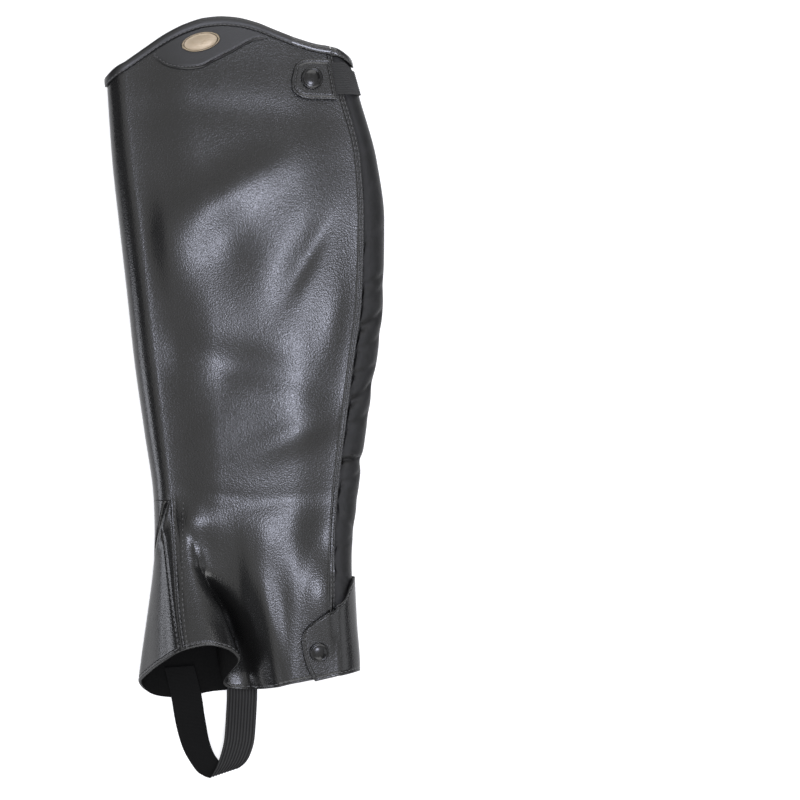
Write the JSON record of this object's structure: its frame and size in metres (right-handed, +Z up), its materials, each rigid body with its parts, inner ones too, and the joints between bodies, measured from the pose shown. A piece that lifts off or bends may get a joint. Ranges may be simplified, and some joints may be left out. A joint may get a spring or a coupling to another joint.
{
  "type": "leather half chap",
  "caption": "Black leather half chap laid on its side, with an elastic calf panel, front ankle gusset, snap tabs and an elastic strap under the foot.",
  "frame": {"origin": "on the surface that the half chap lies on, under the middle of its bounding box", "axes": "+X from the shin to the calf, +Y up the leg to the knee, +Z up from the surface, towards the outer side of the leg"},
  "size_m": [0.1768, 0.4804, 0.0357],
  "materials": {
    "leather": "semi-gloss, fine smooth grain",
    "trim_leather": "satin, glossier along the folded edges",
    "stretch_cloth": "matte elastic knit",
    "elastic": "matte, ribbed lengthwise",
    "snap_enamel": "glossy black enamel",
    "badge_metal": "pale, softly brushed, blank"
  },
  "bodies": {
    "root": {"main_panel": "leather", "ankle_gusset": "leather", "bottom_tab": "leather", "top_tab": "leather", "top_binding": "trim_leather", "back_binding": "trim_leather", "cap_panel": "trim_leather", "stretch_panel": "stretch_cloth", "top_band": "elastic", "under_strap": "elastic", "top_snap": "snap_enamel", "bottom_snap": "snap_enamel", "top_socket": "snap_enamel", "bottom_socket": "snap_enamel", "badge": "badge_metal"}
  },
  "joints": []
}
